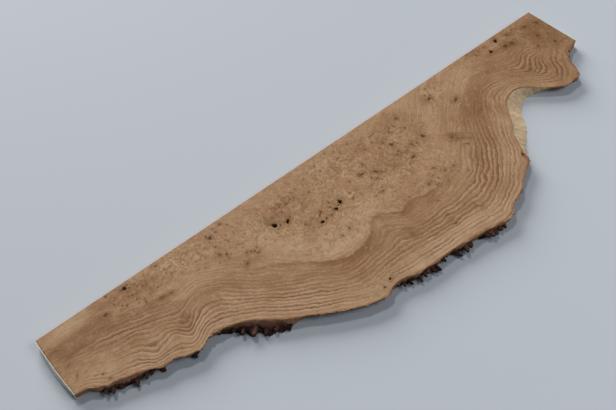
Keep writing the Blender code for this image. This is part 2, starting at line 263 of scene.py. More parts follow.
# Growth rings, counted from the bark: each guide line follows one ring across the face
RING_GUIDES = {
    2: [(0, -53), (15, -56), (28, -63), (40, -66), (52, -71), (64, -78), (80, -80), (92, -84.5), (103, -79.5),
        (120, -80), (135, -87), (150, -98), (165, -110), (180, -120), (200, -131), (220, -142),
        (235, -144), (250, -142), (262, -145), (280, -147), (300, -148), (330, -151), (350, -154),
        (368, -156), (390, -148), (405, -139), (420, -128), (436, -112), (444, -100), (455, -87),
        (463, -76), (470, -68), (480, -62.5), (490, -60.5), (500, -61.5), (508, -66), (518, -75),
        (528, -83), (540, -88), (550, -85), (557, -77), (561, -68), (572, -62)],
    5: [(0, -45), (20, -50), (40, -57), (57, -63), (65, -70), (72, -68), (85, -67), (94, -76), (103, -71),
        (112, -68), (122, -69), (135, -76), (150, -87), (165, -99), (180, -109), (200, -122),
        (215, -131), (230, -135), (250, -133), (265, -134), (280, -136), (300, -138), (330, -141),
        (350, -143), (370, -144), (385, -139), (400, -130), (415, -117), (430, -98), (445, -77),
        (455, -64), (463, -56), (472, -52), (490, -52), (505, -56), (515, -62), (524, -69), (532, -73),
        (540, -72), (547, -64), (553, -56), (563, -50)],
    8: [(0, -36), (30, -41), (60, -48), (75, -54), (88, -58), (97, -65), (105, -58), (112, -54), (120, -53),
        (130, -58), (145, -71), (165, -86), (180, -97), (200, -108), (215, -118), (230, -123),
        (250, -123), (265, -122), (280, -122), (300, -127), (330, -130), (350, -131), (370, -131),
        (385, -125), (400, -114), (415, -98), (428, -79), (440, -63), (455, -49), (465, -43.5),
        (475, -41.5), (490, -42), (505, -47), (518, -55), (526, -60), (532, -57), (538, -52),
        (546, -48), (558, -49)],
    11: [(0, -26), (30, -31), (60, -36), (80, -42), (95, -49), (110, -46), (125, -44), (140, -52), (160, -70),
         (180, -84), (200, -95), (215, -105), (230, -112), (250, -113), (262, -110), (271, -105),
         (279, -102), (288, -108), (297, -115), (315, -118), (340, -118), (360, -116), (378, -111),
         (395, -99), (410, -83), (425, -63), (440, -49), (455, -38), (468, -33), (480, -33), (500, -36),
         (515, -40), (525, -43), (531, -39), (538, -35.5), (550, -36)],
    14: [(0, -15), (30, -20), (60, -25), (90, -35), (115, -36), (135, -40), (155, -52), (175, -66),
         (190, -79), (205, -89), (220, -97), (235, -101), (250, -101), (262, -97), (270, -91),
         (278, -88), (286, -94), (294, -100), (310, -106), (330, -106), (350, -104), (370, -98),
         (390, -84), (405, -67), (420, -52), (438, -37), (455, -25), (468, -18), (490, -20), (520, -26),
         (545, -26)],
    18: [(5, -4), (40, -8), (80, -20), (120, -24), (160, -40), (200, -70), (250, -82), (300, -86),
         (340, -86), (365, -78), (385, -62), (405, -46), (420, -33), (440, -17), (455, -5), (500, -8),
         (550, -12)],
    21: [(150, -15), (200, -45), (250, -62), (300, -68), (350, -66), (375, -52), (392, -38), (410, -23),
         (430, -5)],
    26: [(150, 12), (200, -10), (250, -25), (300, -30), (350, -28), (375, -14), (395, 5)],
}


SPLINE_SMOOTHING = 0.0004
SPLINE_ROWS_AT_ONCE = 8000


def spline_through(centres, values):
    """A thin-plate spline through values at plane points, as a function of rows of x and y."""
    centres = np.asarray(centres, dtype=float)
    scale = 100.0
    nodes = centres / scale
    count = len(nodes)

    def kernel(a, b):
        squared = ((a[:, None, :] - b[None, :, :]) ** 2).sum(axis=2)
        return squared * np.log(squared + 1e-12)

    system = np.zeros((count + 3, count + 3))
    system[:count, :count] = kernel(nodes, nodes) + SPLINE_SMOOTHING * np.eye(count)
    flat = np.column_stack([np.ones(count), nodes])
    system[:count, count:] = flat
    system[count:, :count] = flat.T
    weights = np.linalg.solve(system, np.concatenate([values, np.zeros(3)]))

    def surface(points):
        result = np.empty(len(points))
        for start in range(0, len(points), SPLINE_ROWS_AT_ONCE):
            rows = slice(start, start + SPLINE_ROWS_AT_ONCE)
            part = points[rows] / scale
            result[rows] = kernel(part, nodes) @ weights[:count] + weights[count] + part @ weights[count + 1:]
        return result

    return surface


guide_points = [tuple(point[:2]) for point in NATURAL_EDGE[::2]]
guide_values = [0.0] * len(guide_points)
for ring_number, guide in RING_GUIDES.items():
    guide_points += guide
    guide_values += [float(ring_number)] * len(guide)
ring_surface = spline_through(guide_points, np.array(guide_values))

# Bud eyes: x, y, radius and darkness from 0 to 1, then the depth of the open hole, the stretch and its angle
# in degrees, which a plain round closed eye leaves out
PLAIN_EYE = (0, 1, 0)
EYES = [
    (208.6, -37.6, 2.5, 1, 2.6, 1.1, 90), (220, -41.6, 1.9, 1, 2.2, 1.5, 35),
    (242.2, -62, 1.7, 1, 1.8, 1.1, 0), (260.6, -59.2, 1.8, 1, 2, 1.1, 0),
    (268.3, -55.6, 2.1, 1, 2.4, 1.2, 150), (350.2, -38.5, 2.5, 0.84, 0.3, 1.5, 80),
    (379.8, -50, 2.8, 0.84, 0.3, 1.3, 70), (354.2, -62.4, 2.2, 0.82, 0.3, 1.5, 0),
    (316, -52, 2.1, 0.84, 0.3, 1.6, 110), (304.2, -46, 2.1, 0.84, 0.3, 1.6, 0),
    (159.2, -11.8, 2.2, 0.84, 0.6, 1.4, 90), (77.6, -5.6, 2, 0.95, 1.1, 1.2, 20),
    (52.8, -16.8, 2.5, 0.82, 0.3, 1.2, 160), (439.4, -38.4, 2.4, 0.84, 0.3, 1.1, 0),
    (421, -20, 2.3, 0.84, 0.3, 1.2, 30), (519.4, -15.2, 2.1, 0.95, 1.5, 1.1, 0),
    (535.8, -7, 2.5, 1, 1.6, 1.4, 95), (244.6, -141, 1.1, 1, 1.2, 1.2, 120),
    (432.4, -126.6, 1.2, 0.9, 1.4, 1.1, 0), (576.6, -13.2, 2.7, 0.84, 0.3, 1.3, 160),
    (213, -40.5, 1.2, 0.8, 0, 1.3, 30), (224.5, -39, 1, 0.7), (212.5, -30.2, 0.9, 0.7),
    (217.5, -30, 0.9, 0.7), (223, -30, 0.8, 0.7), (225, -24.5, 1.1, 0.7), (231, -26.5, 1.2, 0.7),
    (231, -20.5, 0.8, 0.7), (237, -25, 1, 0.7), (255, -29.5, 1, 0.6), (229.5, -54, 1.2, 0.7, 0, 1.3, 0),
    (231, -57, 1, 0.6), (247.4, -61.5, 1.1, 0.85, 0.5, 1, 0), (253.3, -61.5, 1.1, 0.8),
    (244.8, -55, 1.2, 0.8, 0, 1.5, 40), (248, -53, 1.5, 0.8, 0, 1.3, 60),
    (257.5, -54.5, 1.2, 0.7, 0, 1.3, 0), (260.5, -50, 1, 0.8), (264.6, -58, 1, 0.8, 0.4, 1.4, 30),
    (279.5, -60.5, 1, 0.8), (281.8, -54, 1, 0.6), (290, -44.5, 1.1, 0.7, 0, 1.2, 90),
    (312.5, -38.3, 1.4, 0.7), (302, -44, 1.1, 0.8), (308.8, -54, 1.1, 0.7),
    (311.8, -57.9, 1.5, 0.75, 0, 1.8, 5), (296.5, -72, 0.8, 0.7), (305, -72, 1.4, 0.75, 0, 2, 15),
    (255, -82, 1.5, 0.7, 0, 1.2, 130), (245, -84, 1, 0.6), (235.5, -73, 0.9, 0.6),
    (278.5, -10, 1.5, 0.55, 0, 1.4, 90), (319.5, -10, 1.1, 0.6), (338.5, -24, 1.4, 0.55, 0, 1.3, 90),
    (327.5, -26, 1.5, 0.6), (341, -17, 0.9, 0.7), (344, -17, 0.9, 0.6), (345.5, -31.5, 1.4, 0.65),
    (360, -25, 1.2, 0.7, 0, 1.3, 90), (363, -21.5, 1, 0.7), (368, -22.5, 1.2, 0.7, 0, 1.2, 40),
    (371.5, -28, 1.1, 0.65), (375, -31, 1.4, 0.7, 0, 1.4, 40), (377.5, -16.8, 1.6, 0.84),
    (345.5, -50, 1.2, 0.75, 0, 1.2, 0), (348.5, -48, 1, 0.7), (357, -48.5, 1, 0.6),
    (364.5, -50, 1.9, 0.6, 0, 1.2, 0), (369.5, -51.8, 1.1, 0.7), (345.5, -66.5, 1.1, 0.6),
    (330, -60, 0.8, 0.6), (358.5, -83.5, 1.1, 0.7), (341.5, -93.5, 1.5, 0.84, 0, 1.2, 90),
    (353, -94.5, 1.1, 0.65), (363.5, -92.5, 1.6, 0.65, 0, 1.3, 90), (374, -93, 1.5, 0.7, 0, 1.5, 50),
    (347, -99, 0.9, 0.7), (318, -92, 1, 0.65), (357, -104, 2.4, 0.4, 0, 1.3, 90), (380, -106.5, 1.4, 0.5),
    (235.6, -144, 1.2, 0.8, 0.4, 1.2, 0), (230, -136, 2, 0.3, 0, 1.2, 90), (227, -126, 1.5, 0.3),
    (291, -123, 2.2, 0.45, 0, 1.5, 120), (328, -128, 1.4, 0.55), (327, -138.5, 1.6, 0.6, 0, 1.2, 0),
    (355, -136, 1.5, 0.5), (358, -143, 1.6, 0.4), (387, -118, 1.7, 0.4), (373, -118, 1.5, 0.3),
    (334, -112, 1.4, 0.6), (180.5, -49.8, 1.1, 0.7), (183, -45, 0.9, 0.6), (399, -69, 2.3, 0.6, 0, 1.2, 20),
    (425.5, -17.2, 1.5, 0.65), (421, -14, 1.1, 0.7), (427.8, -8, 1.2, 0.75),
    (552.5, -8, 2.3, 0.82, 0, 1.2, 0), (562, -7, 1.2, 0.6), (592, -16.5, 2.8, 0.84, 0, 1.2, 0),
    (546, -20.5, 3.4, 0.84, 0, 1.5, 120), (538, -19, 3.4, 0.84, 0, 1.3, 0), (576, -31, 2.5, 0.8),
    (587, -36, 1.2, 0.6), (582.5, -48.5, 2.3, 0.84, 0, 1.2, 20), (563, -42, 3, 0.55, 0, 1.4, 60),
    (504, -8, 1.1, 0.7), (510, -5, 1.1, 0.6), (496, -1.6, 0.9, 0.7), (80.8, -4, 1, 0.8),
    (108.5, -4.5, 1.4, 0.8, 0, 1.2, 20), (62, -2, 1, 0.8), (63.5, -13, 1.5, 0.6, 0, 1.2, 90),
    (81, -7.5, 1, 0.6), (86, -7.5, 1, 0.6), (92, -8, 1, 0.6), (76, -14, 1, 0.6), (79, -15.5, 1.1, 0.7),
    (70.5, -20.5, 1, 0.7), (90, -13.5, 0.9, 0.6), (79.5, -20.5, 1, 0.7), (79, -25, 0.9, 0.7),
    (84, -27.5, 1.5, 0.7), (95.5, -32.2, 1.5, 0.7, 0, 2.4, -14), (103.5, -34, 1, 0.7, 0, 1.4, 0),
    (157.5, -8.5, 1.1, 0.8), (166.5, -5.5, 0.9, 0.7), (167, -9.8, 1.1, 0.8),
    (174, -5.5, 1.4, 0.84, 0, 1.4, 30), (157.3, -22, 1.1, 0.75), (155.4, -30.2, 1.5, 0.84),
    (160, -34, 1.4, 0.8, 0, 1.5, 60), (159, -38.5, 1.5, 0.5, 0, 1.4, 0),
    (166.5, -52.5, 1.5, 0.84, 0, 1.2, 20), (173.5, -43.5, 1.1, 0.7), (177, -45.5, 1.4, 0.75, 0, 1.4, 140),
    (179.5, -46.5, 1.1, 0.7), (182, -49.8, 1, 0.75), (9.5, -34.5, 1.5, 0.45, 0, 1.2, 0),
    (9.5, -47, 1.1, 0.55, 0, 3, 60), (24.5, -58, 1, 0.7), (27, -64.5, 1.6, 0.5), (493, -32.5, 1.1, 0.5),
    (400.5, -66.5, 1.5, 0.84, 0, 9, -38), (406.5, -68.5, 1.5, 0.8, 0, 8, -42),
    (404.5, -75, 1.5, 0.84, 0, 8, -40), (404, -84, 1.2, 0.7, 0, 6, -42), (412, -81, 1.2, 0.7, 0, 5, -38),
    (580.5, -68.2, 1.9, 0.9, 0, 1.6, 20),
]
EYES = [(*eye, *PLAIN_EYE[len(eye) - 4:]) for eye in EYES]
# Patches of pin knots: x, y, half length, half width and how many pins
PIN_PATCHES = [
    (84, -15, 24, 12, 46), (232, -26, 24, 12, 40), (240, -57, 30, 8, 26), (290, -20, 40, 16, 26),
    (350, -26, 32, 16, 44), (365, -50, 18, 8, 22), (330, -60, 34, 14, 24), (352, -90, 26, 10, 34),
    (170, -25, 26, 20, 22), (560, -20, 36, 14, 34), (510, -8, 24, 7, 14), (430, -14, 18, 9, 10),
    (130, -14, 24, 11, 14), (312, -92, 22, 7, 14), (580, -45, 16, 12, 14),
]
PIN_SEED = 12


def pin_knots():
    """Tiny round knots drawn at random inside their patches, thicker towards each patch's middle."""
    rng = random.Random(PIN_SEED)
    pins = []
    for x, y, half_length, half_width, count in PIN_PATCHES:
        for _ in range(count):
            angle = rng.uniform(0, 2 * math.pi)
            away = rng.random() ** 0.7
            radius = rng.uniform(0.45, 0.9)
            place = (x + half_length * away * math.cos(angle), y + half_width * away * math.sin(angle))
            pins.append((*place, radius, rng.uniform(0.4, 0.8), 0, rng.uniform(1, 1.6), rng.uniform(0, 180)))
    return [pin for pin in pins if pin[1] < -1.2]


ALL_EYES = EYES + pin_knots()


def turned(points, x, y, angle):
    """How far plane points are from a middle, along a direction in degrees and across it."""
    turn = math.radians(angle)
    away = points - np.array((x, y))
    return (away[:, 0] * math.cos(turn) + away[:, 1] * math.sin(turn),
            -away[:, 0] * math.sin(turn) + away[:, 1] * math.cos(turn))


def rim_share(around, number):
    """How an eye's rim wanders from round at some angles, as a share of its radius."""
    return 1 + 0.13 * np.sin(2 * around + number) + 0.1 * np.sin(3 * around + 2.3 * number)


def eye_distance(points, eye, number):
    """Distance of plane points from an eye's middle, as a share of its uneven radius in that direction."""
    x, y, radius, _, _, stretch, angle = eye
    along, across = turned(points, x, y, angle)
    uneven = rim_share(np.arctan2(across, along), number)
    grow = math.sqrt(stretch)
    return np.hypot(along / grow, across * grow) / (radius * uneven)


# The rim where the pale burl ends and the brown heart begins: x, y and how dark the heart is below it
HEART_RIM = [
    (0, -10, 0.5), (25, -16, 0.55), (55, -22, 0.45), (90, -29, 0.5), (105, -44, 0.35), (130, -45, 0.25),
    (150, -50, 0.35), (165, -58, 0.4), (180, -64, 0.4), (200, -78, 0.6), (215, -92, 0.85), (234, -100.5, 1),
    (252, -104, 1), (262, -98, 0.9), (271, -90.5, 0.6), (278, -85.5, 0.6), (287, -89, 0.7), (296, -94, 0.75),
    (302, -98.5, 0.95), (310, -95.5, 0.95), (322, -96, 0.85), (336, -100, 0.75), (350, -99, 0.5),
    (370, -93, 0.3), (392, -84, 0.25), (412, -70, 0.35), (428, -54, 0.7), (442, -44, 0.95), (456, -37, 1),
    (470, -30, 0.85), (486, -20, 0.7), (505, -16, 0.75), (530, -14, 0.8), (560, -6, 0.7), (600, -4, 0.6),
]
HEART_LINE_FADE = 4.0
HEART_FADE = 16.0
# Tints of the face: x, y, half length, half width, angle in degrees and strength. The heart is brown, the
# pale patches are sapwood and burl figure.
HEART_PATCHES = [
    (6, -22, 34, 5, -12, 0.75), (18, -28, 16, 4, -14, 1), (40, -17, 22, 5, -10, 0.7),
    (70, -33, 26, 4, -14, 0.6), (6, -18, 10, 3, -10, 0.9), (45, -27, 14, 4, -10, 0.8),
    (62, -6, 18, 7, 0, 0.4), (52, -18, 5, 4, 0, 0.7), (30, -36, 30, 8, -8, 0.35), (98, -33, 9, 3, -18, 0.9),
    (101, -60, 7, 6, 0, 0.85), (97, -70, 5, 4, 0, 0.5), (77, -49, 5, 3, 40, 0.6),
    (126, -53, 15, 4, -10, 0.6), (88, -40, 14, 6, 0, 0.4), (85, -14, 22, 12, 0, 0.35),
    (170, -50, 14, 10, 0, 0.35), (175, -80, 26, 8, -36, 0.35), (218, -30, 22, 12, -10, 0.45),
    (335, -22, 26, 12, 0, 0.35), (290, -118, 10, 7, -30, 0.45), (327, -134, 9, 6, 0, 0.35),
    (345, -52, 22, 14, 0, 0.3), (350, -88, 22, 9, 0, 0.3), (385, -30, 12, 16, 0, 0.3),
    (375, -12, 16, 8, 0, 0.3), (450, -56, 34, 12, 40, 0.75), (430, -80, 34, 9, 50, 0.4),
    (405, -73, 14, 7, -40, 0.6), (404, -100, 22, 10, 45, 0.3), (541, -20, 17, 7, 0, 0.95),
    (575, -12, 16, 9, 0, 0.75), (590, -28, 14, 22, 0, 0.75), (562, -38, 12, 12, 0, 0.55),
    (510, -30, 32, 9, 0, 0.6), (530, -50, 14, 12, 0, 0.45), (520, -4, 40, 6, 0, 0.5),
    (598, -45, 6, 18, 0, 0.5), (475, -60, 18, 7, 0, 0.3), (545, -46, 46, 30, 0, 0.5),
    (582, -34, 28, 32, 0, 1), (545, -76, 24, 20, 0, 0.58), (262, -104, 28, 7, 0, 0.4),
    (420, -20, 7, 6, 0, 0.4), (439, -38, 6, 5, 0, 0.35),
]
PALE_PATCHES = [
    (250, -92, 42, 7, -6, 0.95), (272, -78, 40, 9, 10, 0.7), (205, -62, 28, 9, -38, 0.6),
    (125, -16, 32, 9, -8, 0.3), (288, -14, 16, 9, 0, 0.45), (26, -7, 22, 5, 0, 0.55),
    (418, -28, 40, 9, 42, 0.5), (60, -70, 50, 9, -18, 0.6), (118, -76, 28, 10, -8, 0.65),
    (165, -104, 50, 9, -38, 0.7), (215, -133, 30, 9, -22, 0.6), (300, -147, 80, 9, -4, 0.9),
    (370, -152, 24, 9, 10, 0.7), (412, -130, 32, 8, 42, 0.65), (446, -92, 26, 6, 50, 0.6),
    (482, -64, 22, 5, 0, 0.6), (66, -62, 10, 5, 0, 0.4), (545, -78, 16, 14, 0, 0.45),
    (150, -80, 22, 6, -38, 0.4), (232, -78, 24, 8, 0, 0.5), (192, -44, 14, 8, -30, 0.4),
    (437, -124, 6, 8, 0, 0.7),
]
BURL_PATCHES = [
    (290, -42, 105, 46, -4, 1), (325, -58, 62, 34, 0, 1), (215, -36, 50, 28, -25, 0.95),
    (120, -14, 62, 16, -6, 0.95), (580, -18, 32, 20, 0, 0.95), (365, -68, 28, 30, 0, 0.7),
    (520, -8, 44, 10, 0, 0.85), (405, -76, 14, 12, 0, 0.6), (256, -80, 46, 16, 0, 0.8),
    (14, -24, 16, 9, 0, 0.5), (230, -140, 14, 10, 0, 0.5), (18, -46, 26, 12, -10, 0.4),
    (582, -34, 32, 34, 0, 0.9),
]
# Where the rings are drawn boldest
BOLD_RING_PATCHES = [
    (545, -58, 42, 34, -10, 1.15), (470, -50, 40, 14, 25, 0.35), (399, -100, 60, 32, 52, 0.75),
    (300, -128, 90, 18, -3, 0.55), (180, -108, 55, 14, -36, 0.7), (108, -72, 34, 14, -10, 0.85),
    (66, -70, 24, 10, -14, 0.75), (412, -52, 50, 17, 48, 0.5), (58, -36, 56, 13, -12, 0.85),
    (150, -62, 26, 10, -36, 0.5), (225, -100, 40, 9, -10, 0.4),
]


def patch_strength(points, patches):
    """The strongest of some soft oval patches at each plane point."""
    total = np.zeros(len(points))
    for x, y, half_length, half_width, angle, strength in patches:
        along, across = turned(points, x, y, angle)
        oval = (along / half_length) ** 2 + (across / half_width) ** 2
        total = np.maximum(total, strength * np.exp(-oval ** 1.4))
    return total


WANDER_SEED = 5
noise.seed_set(WANDER_SEED)


def wandered(points, size, reach, seed):
    """Plane points pushed about by smooth noise, so that what is drawn from them has no ruled outline."""
    pushed = np.empty_like(points)
    for row, (x, y) in enumerate(points):
        push = noise.noise_vector((x / size, y / size, seed))
        pushed[row] = (x + reach * push.x, y + reach * push.y)
    return pushed


def heart_band(points):
    """The brown of the heart: sharp along most of its rim, soft at the right, and fading downwards."""
    rim = np.array(HEART_RIM)
    below = np.interp(points[:, 0], rim[:, 0], rim[:, 1]) - points[:, 1]
    dark = np.interp(points[:, 0], rim[:, 0], rim[:, 2])
    soft = np.interp(points[:, 0], [395, 425, 505, 540], [0, 12, 12, 3])
    within_rim = np.clip((below + 0.4 * soft) / (1.2 + soft), 0, 1)
    deep = np.clip(below, 0, None)
    fading = 0.35 * np.exp(-deep / HEART_LINE_FADE) + 0.65 * np.exp(-deep / HEART_FADE)
    return 1.45 * dark * within_rim * fading


FACE_STEP = 1.35
UNDERSIDE_STEP = 3.2
EYE_RINGS = (0.5, 0.82, 0.98, 1.12, 1.5, 2.1)
PIN_RINGS = (1.0, 1.8)
RING_POINT_STEP = 0.62
EYE_CLEARANCE = 2.3
PIN_CLEARANCE = 1.9
EYE_NEIGHBOUR_REACH = 12
NEAREST_ROWS_AT_ONCE = 4000


def inside_mask(points, outline):
    """Which plane points lie inside a closed outline."""
    x, y = points[:, 0], points[:, 1]
    inside = np.zeros(len(points), dtype=bool)
    for (ax, ay), (bx, by) in zip(outline, np.roll(outline, -1, axis=0)):
        crosses = (ay > y) != (by > y)
        if crosses.any():
            inside[crosses] ^= x[crosses] < (bx - ax) * (y[crosses] - ay) / (by - ay) + ax
    return inside


def inside_outline(points, outline, margin):
    """The plane points inside a closed outline and at least the margin from its corners."""
    keep = np.where(inside_mask(points, outline))[0]
    clear = np.ones(len(keep), dtype=bool)
    for start in range(0, len(keep), NEAREST_ROWS_AT_ONCE):
        rows = slice(start, start + NEAREST_ROWS_AT_ONCE)
        part = points[keep[rows]]
        nearest = ((part[:, None, :] - outline[None, :, :]) ** 2).sum(axis=2).min(axis=1)
        clear[rows] = nearest > margin ** 2
    return points[keep[clear]]


def staggered_points(step, low, high, seed):
    """Points in staggered rows over a box, each a little off its place."""
    rng = np.random.default_rng(seed)
    rows = []
    for number, y in enumerate(np.arange(low[1], high[1], step * 0.866)):
        x = np.arange(low[0], high[0], step) + (number % 2) * step / 2
        rows.append(np.column_stack([x, np.full(len(x), y)]))
    points = np.vstack(rows)
    return points + rng.uniform(-0.12, 0.12, points.shape) * step


def face_points(outline):
    """Inner points of the top face: an even spread, with rings of their own round the eyes."""
    spread = inside_outline(staggered_points(FACE_STEP, (0, -170), (LENGTH, 0), 3), outline, 0.75 * FACE_STEP)
    own = []
    for number, eye in enumerate(ALL_EYES):
        x, y, radius, _, _, stretch, angle = eye
        big = number < len(EYES)
        spread = spread[eye_distance(spread, eye, number) > (EYE_CLEARANCE if big else PIN_CLEARANCE)]
        turn = math.radians(angle)
        grow = math.sqrt(stretch)
        placed = [np.array([(x, y)])]
        for share in EYE_RINGS if big else PIN_RINGS:
            count = max(6, int(2 * math.pi * radius * share / RING_POINT_STEP)) if big else 6
            around = np.arange(count) * 2 * math.pi / count + share
            reach = radius * share * rim_share(around, number)
            along = reach * np.cos(around) * grow
            across = reach * np.sin(around) / grow
            placed.append(np.column_stack([x + along * math.cos(turn) - across * math.sin(turn),
                                           y + along * math.sin(turn) + across * math.cos(turn)]))
        placed = np.vstack(placed)
        for earlier_number, earlier in enumerate(ALL_EYES[:number]):
            if math.hypot(earlier[0] - x, earlier[1] - y) < EYE_NEIGHBOUR_REACH:
                placed = placed[eye_distance(placed, earlier, earlier_number) > 1.3]
        own.append(placed)
    own = inside_outline(np.vstack(own), outline, 0.3)
    return np.vstack([spread, own])


def filled(outline, inner):
    """Triangles over a closed outline and its inner points, with the outline's points first."""
    points = [Vector(p) for p in np.vstack([outline, inner])]
    count = len(outline)
    sides = [(i, (i + 1) % count) for i in range(count)]
    verts, _, faces, origins, _, _ = delaunay_2d_cdt(points, sides, [], 1, 1e-5, True)
    names = [origin[0] for origin in origins]
    triangles = []
    middles = []
    for a, b, c in faces:
        if (verts[b] - verts[a]).cross(verts[c] - verts[a]) < 0:
            b, c = c, b
        triangles.append((names[a], names[b], names[c]))
        middles.append((verts[a] + verts[b] + verts[c]) / 3)
    within_outline = inside_mask(np.array(middles), outline)
    return [triangle for triangle, keep in zip(triangles, within_outline) if keep]


def smoothstep(low, high, value):
    """0 below low, 1 above high and smooth between."""
    t = np.clip((value - low) / (high - low), 0, 1)
    return t * t * (3 - 2 * t)


def eye_fields(points, eyes, with_holes):
    """At each plane point: how much of a dark eye is there, the brown round it, and the hole's depth."""
    dark = np.zeros(len(points))
    halo = np.zeros(len(points))
    hole = np.zeros(len(points))
    for number, eye in enumerate(eyes):
        x, y, radius, darkness, depth, _, _ = eye
        near = np.where(np.abs(points - np.array((x, y))).max(axis=1) < radius * 8)[0]
        if not len(near):
            continue
        share = eye_distance(points[near], eye, number)
        firm = 0.62 if darkness > 0.84 or radius < 1.3 else 0.36
        dark[near] = np.maximum(dark[near], darkness * (1 - smoothstep(firm, 1.12, share)))
        halo[near] = np.maximum(halo[near], darkness * np.exp(-(share / 2.2) ** 2))
        if with_holes and depth:
            hole[near] = np.maximum(hole[near], depth * (1 - smoothstep(0.55, 1.03, share)))
    return dark, halo, hole


def ring_field(points):
    """The ring number at each plane point, bent round the eyes as the wood grew round the buds."""
    value = ring_surface(points)
    for number, (x, y, radius, darkness, _, _, _) in enumerate(EYES):
        if radius < 1.1:
            continue
        away = np.hypot(points[:, 0] - x, points[:, 1] - y)
        value += (0.9 if number % 2 else -0.9) * darkness * np.exp(-(away / (radius * 3.4)) ** 2)
    return value


def figure_field(points):
    """The swirl of the burl: a height map whose level lines are the fine figure between the eyes."""
    value = np.empty(len(points))
    for row, (x, y) in enumerate(points):
        value[row] = 3.2 * noise.fractal((x / 34, y / 26, 3.0), 0.75, 2.1, 3)
    for x, y, radius, darkness, _, _, _ in ALL_EYES:
        away = np.hypot(points[:, 0] - x, points[:, 1] - y)
        value += 1.6 * darkness * np.exp(-(away / (radius * 2.4 + 1.5)) ** 2)
    return value


RING_DRIFT_WITH_DEPTH = 0.28
# The face dips a little under the wax lip at each end
END_DIP = 0.12
END_DIP_REACH = 1.6
top_ring = outline_ring(0.0, ARRIS)
wall_rings = [outline_ring(share, 0.0) for share in WALL_SHARES]
ring_count = len(top_ring)
top_outline = np.array(top_ring)[:, :2]
foot_outline = np.array(wall_rings[-1])[:, :2]
top_inner = face_points(top_outline)
foot_inner = inside_outline(staggered_points(UNDERSIDE_STEP, (-5, -175), (LENGTH, 0), 5), foot_outline,
                            0.7 * UNDERSIDE_STEP)
top_triangles = filled(top_outline, top_inner)
foot_triangles = filled(foot_outline, foot_inner)

_, _, hole = eye_fields(top_inner, ALL_EYES, True)
board_points = [np.array(top_ring), np.column_stack([top_inner, hole])]
board_points += [np.array(ring) for ring in wall_rings]
board_points.append(np.column_stack([foot_inner, np.full(len(foot_inner), THICKNESS)]))
board_points = np.vstack(board_points)
on_top = slice(0, ring_count + len(top_inner))
from_end = np.minimum(from_left_end(board_points[on_top]), LENGTH - board_points[on_top, 0])
board_points[on_top, 2] += END_DIP * np.clip(1 - from_end / END_DIP_REACH, 0, 1)
first_wall = ring_count + len(top_inner)
foot_start = first_wall + ring_count * (len(wall_rings) - 1)
board_faces = list(top_triangles)
for level in range(len(wall_rings)):
    upper = 0 if level == 0 else first_wall + ring_count * (level - 1)
    lower = first_wall + ring_count * level
    for i in range(ring_count):
        j = (i + 1) % ring_count
        board_faces.append((upper + i, lower + i, lower + j, upper + j))
for triangle in foot_triangles:
    a, b, c = (v + foot_start for v in triangle)
    board_faces.append((a, c, b))


def board_attributes(points):
    """What the board's finish reads at each point of its mesh."""
    plane = points[:, :2]
    depth = points[:, 2]
    on_face = depth < 3.0
    under = depth > THICKNESS - 0.01
    bent = wandered(plane, 14, 3.6, 0.0)
    ragged = wandered(wandered(plane, 11, 2.2, 4.0), 3.2, 1.1, 8.0)
    fields = {
        "ring": ring_field(plane) + RING_DRIFT_WITH_DEPTH * depth,
        "figure": figure_field(plane),
        "heart": np.maximum(patch_strength(bent, HEART_PATCHES), heart_band(ragged)),
        "pale": patch_strength(bent, PALE_PATCHES),
        "burl": patch_strength(bent, BURL_PATCHES),
        "bold": patch_strength(bent, BOLD_RING_PATCHES),
        "freckled": patch_strength(bent, [(*pins[:4], 0, 1.0) for pins in PIN_PATCHES]),
    }
    eye_dark, eye_halo, _ = eye_fields(plane, ALL_EYES, False)
    fields["eye"] = np.where(under, 0.75, 1.0) * eye_dark * (on_face | under)
    beside_wax = np.minimum(from_left_end(plane), LENGTH - plane[:, 0])
    # Painted shade: the face within 0.6 mm of either end, next to each wax lip, takes the eyes' dark brown as
    # a thin dark line
    fields["eye"] = np.where((depth < 0.3) & (beside_wax < 0.6), 0.75, fields["eye"])
    fields["halo"] = eye_halo
    rind = np.zeros(len(points))
    bare = np.zeros(len(points))
    left_end_points = int(-edge[0][1] / SAWN_STEP)
    for level in range(len(wall_rings)):
        rows = first_wall + ring_count * level + left_end_points + np.arange(len(edge))
        rind[rows] = edge_dark * (min(1.0, 0.55 + 3 * WALL_SHARES[level]) if level else 0.35)
        bare[rows] = edge_bare
    fields["rind"] = rind
    fields["bare"] = bare
    return fields


def add_sockets(group, direction, *rows):
    """Named sockets on a node group: name, kind and, where it has one, the default value."""
    for name, kind, *default in rows:
        socket = group.interface.new_socket(name=name, in_out=direction, socket_type="NodeSocket" + kind)
        if default:
            socket.default_value = default[0]


